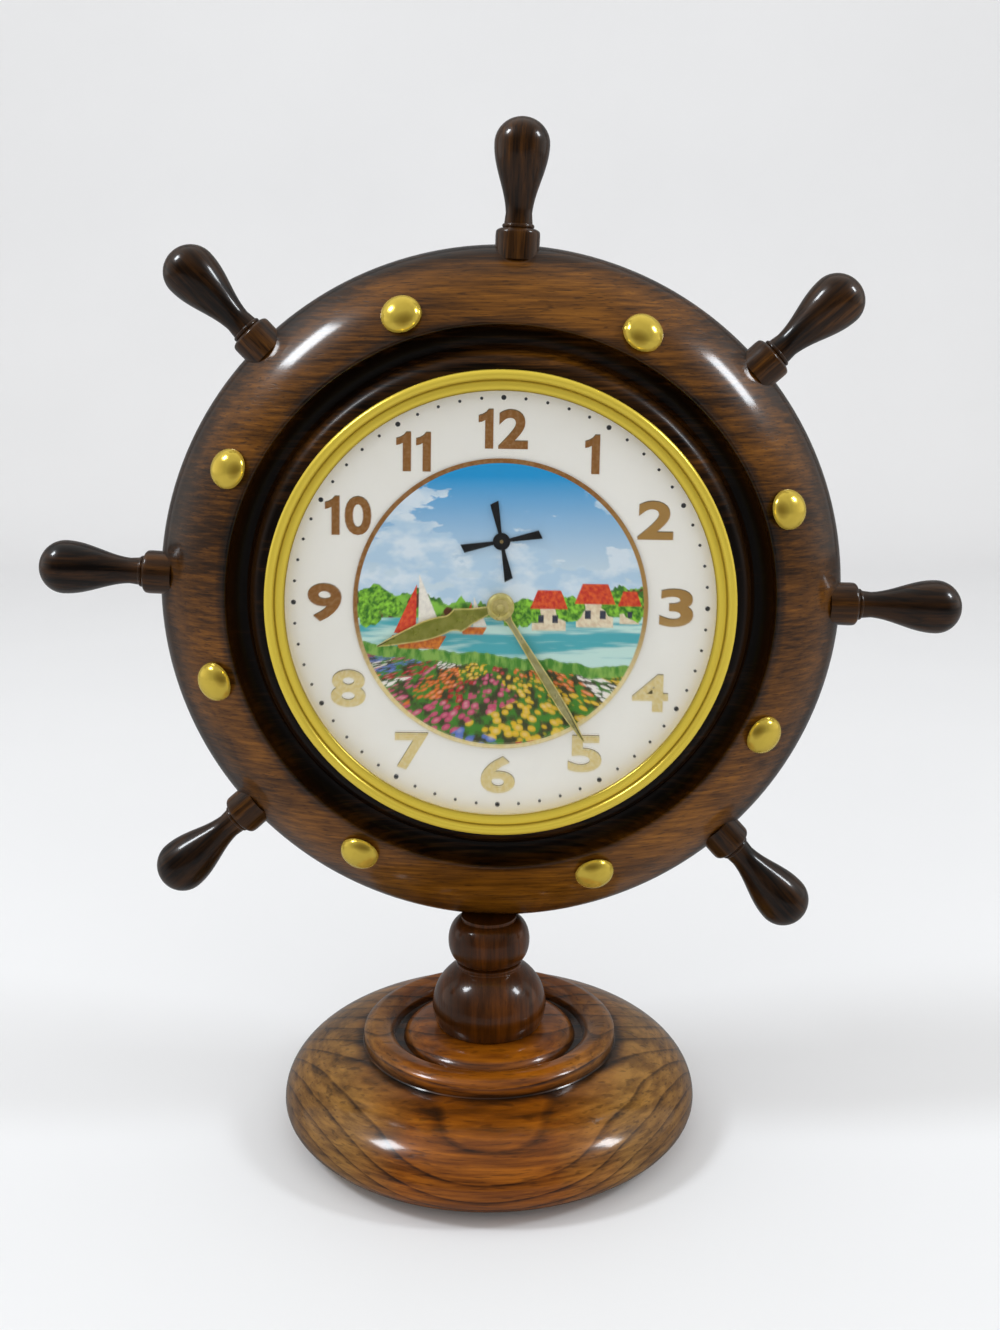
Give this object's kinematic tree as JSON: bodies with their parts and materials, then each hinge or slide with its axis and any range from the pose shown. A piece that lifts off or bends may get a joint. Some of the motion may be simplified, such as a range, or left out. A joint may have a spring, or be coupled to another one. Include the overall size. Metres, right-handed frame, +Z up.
{
  "type": "ship wheel table clock",
  "caption": "Wind-up table clock in a turned wooden ship's wheel on a round pedestal base, with brass studs, a brass bezel and a small turning rotor in the dial.",
  "frame": {"origin": "centre of the base's flat underside, on the table", "axes": "+Z up, the dial faces -Y, +X to the right as seen from the front"},
  "size_m": [0.2445, 0.1144, 0.2701],
  "materials": {
    "stained_wood": "gloss varnish over walnut stain",
    "polished_brass": "polished",
    "movement_brass": "satin",
    "movement_steel": "satin",
    "case_steel": "lacquered",
    "crystal_glass": "clear",
    "dial_enamel": "satin",
    "printed_picture": "satin print",
    "gilt_hands": "polished",
    "rotor_black": "matt"
  },
  "bodies": {
    "stand_and_case": {"base": "stained_wood", "pedestal": "stained_wood", "wheel_ring": "stained_wood", "handle_1": "stained_wood", "handle_2": "stained_wood", "handle_3": "stained_wood", "handle_4": "stained_wood", "handle_5": "stained_wood", "handle_6": "stained_wood", "handle_7": "stained_wood", "brass_stud_1": "polished_brass", "brass_stud_2": "polished_brass", "brass_stud_3": "polished_brass", "brass_stud_4": "polished_brass", "brass_stud_5": "polished_brass", "brass_stud_6": "polished_brass", "brass_stud_7": "polished_brass", "brass_stud_8": "polished_brass", "bezel": "polished_brass", "crystal": "crystal_glass", "dial_plate": "dial_enamel", "picture_disc": "printed_picture", "movement_case": "case_steel", "back_cover": "case_steel", "front_plate": "movement_brass", "back_plate": "movement_brass", "plate_pillar_1": "movement_brass", "plate_pillar_2": "movement_brass", "plate_pillar_3": "movement_brass", "plate_pillar_4": "movement_brass", "pillar_nut_1": "movement_brass", "pillar_nut_2": "movement_brass", "pillar_nut_3": "movement_brass", "pillar_nut_4": "movement_brass", "case_screw_1": "movement_steel", "case_screw_2": "movement_steel", "case_screw_3": "movement_steel", "case_screw_4": "movement_steel", "hairspring": "movement_steel", "mainspring": "movement_steel"},
    "minute_work": {"centre_arbor": "movement_steel", "minute_hand": "gilt_hands", "hand_nut": "polished_brass", "set_knob": "polished_brass"},
    "hour_work": {"hour_wheel": "movement_brass", "hour_hand": "gilt_hands"},
    "minute_reduction": {"minute_wheel": "movement_brass"},
    "escape_work": {"escape_wheel": "movement_brass", "rotor": "rotor_black"},
    "fourth_work": {"fourth_wheel": "movement_brass"},
    "third_work": {"third_wheel": "movement_brass"},
    "centre_work": {"centre_wheel": "movement_brass"},
    "great_work": {"great_wheel": "movement_brass", "click": "movement_steel"},
    "winding_work": {"spring_arbor": "movement_steel", "winding_key": "polished_brass"},
    "pallets": {"pallet_lever": "movement_steel"},
    "balance": {"balance_wheel": "movement_brass"},
    "regulator": {"regulator_lever": "movement_steel"}
  },
  "joints": [
    {"name": "minute_turn", "type": "hinge", "parent": "stand_and_case", "child": "minute_work", "pos_m": [0.0034, 0, 0.14783], "axis": [0, 1, 0], "continuous": true},
    {"name": "hour_turn", "type": "hinge", "parent": "stand_and_case", "child": "hour_work", "pos_m": [0.0034, 0, 0.14783], "axis": [0, 1, 0], "continuous": true},
    {"name": "minute_wheel_turn", "type": "hinge", "parent": "stand_and_case", "child": "minute_reduction", "pos_m": [0.01174, 0, 0.1392], "axis": [0, 1, 0], "continuous": true},
    {"name": "escape_turn", "type": "hinge", "parent": "stand_and_case", "child": "escape_work", "pos_m": [0.00369, 0, 0.16433], "axis": [0, 1, 0], "continuous": true},
    {"name": "fourth_turn", "type": "hinge", "parent": "stand_and_case", "child": "fourth_work", "pos_m": [-0.01002, 0, 0.16592], "axis": [0, 1, 0], "continuous": true},
    {"name": "third_turn", "type": "hinge", "parent": "stand_and_case", "child": "third_work", "pos_m": [-0.01087, 0, 0.15192], "axis": [0, 1, 0], "continuous": true},
    {"name": "centre_turn", "type": "hinge", "parent": "stand_and_case", "child": "centre_work", "pos_m": [0.0034, 0, 0.14783], "axis": [0, 1, 0], "continuous": true},
    {"name": "great_turn", "type": "hinge", "parent": "stand_and_case", "child": "great_work", "pos_m": [0.01321, 0, 0.12858], "axis": [0, 1, 0], "continuous": true},
    {"name": "winding_turn", "type": "hinge", "parent": "stand_and_case", "child": "winding_work", "pos_m": [0.01321, 0, 0.12858], "axis": [0, 1, 0], "range_deg": [0, 1440]},
    {"name": "pallet_rock", "type": "hinge", "parent": "stand_and_case", "child": "pallets", "pos_m": [0.01196, 0, 0.16029], "axis": [0, 1, 0], "range_deg": [-5, 5]},
    {"name": "balance_swing", "type": "hinge", "parent": "stand_and_case", "child": "balance", "pos_m": [0.0205, 0, 0.15613], "axis": [0, 1, 0], "range_deg": [-150, 150], "stiffness_Nm_per_rad": 0.000006},
    {"name": "regulator_swing", "type": "hinge", "parent": "stand_and_case", "child": "regulator", "pos_m": [0.0205, 0, 0.15613], "axis": [0, 1, 0], "range_deg": [-20, 20]}
  ],
  "couplings": [
    {"joint": "hour_turn", "follows": "minute_turn", "ratio": 0.083333},
    {"joint": "minute_wheel_turn", "follows": "minute_turn", "ratio": -0.33333},
    {"joint": "fourth_turn", "follows": "escape_turn", "ratio": -0.15},
    {"joint": "third_turn", "follows": "escape_turn", "ratio": 0.02},
    {"joint": "centre_turn", "follows": "escape_turn", "ratio": -0.0025},
    {"joint": "great_turn", "follows": "escape_turn", "ratio": 0.0005}
  ]
}
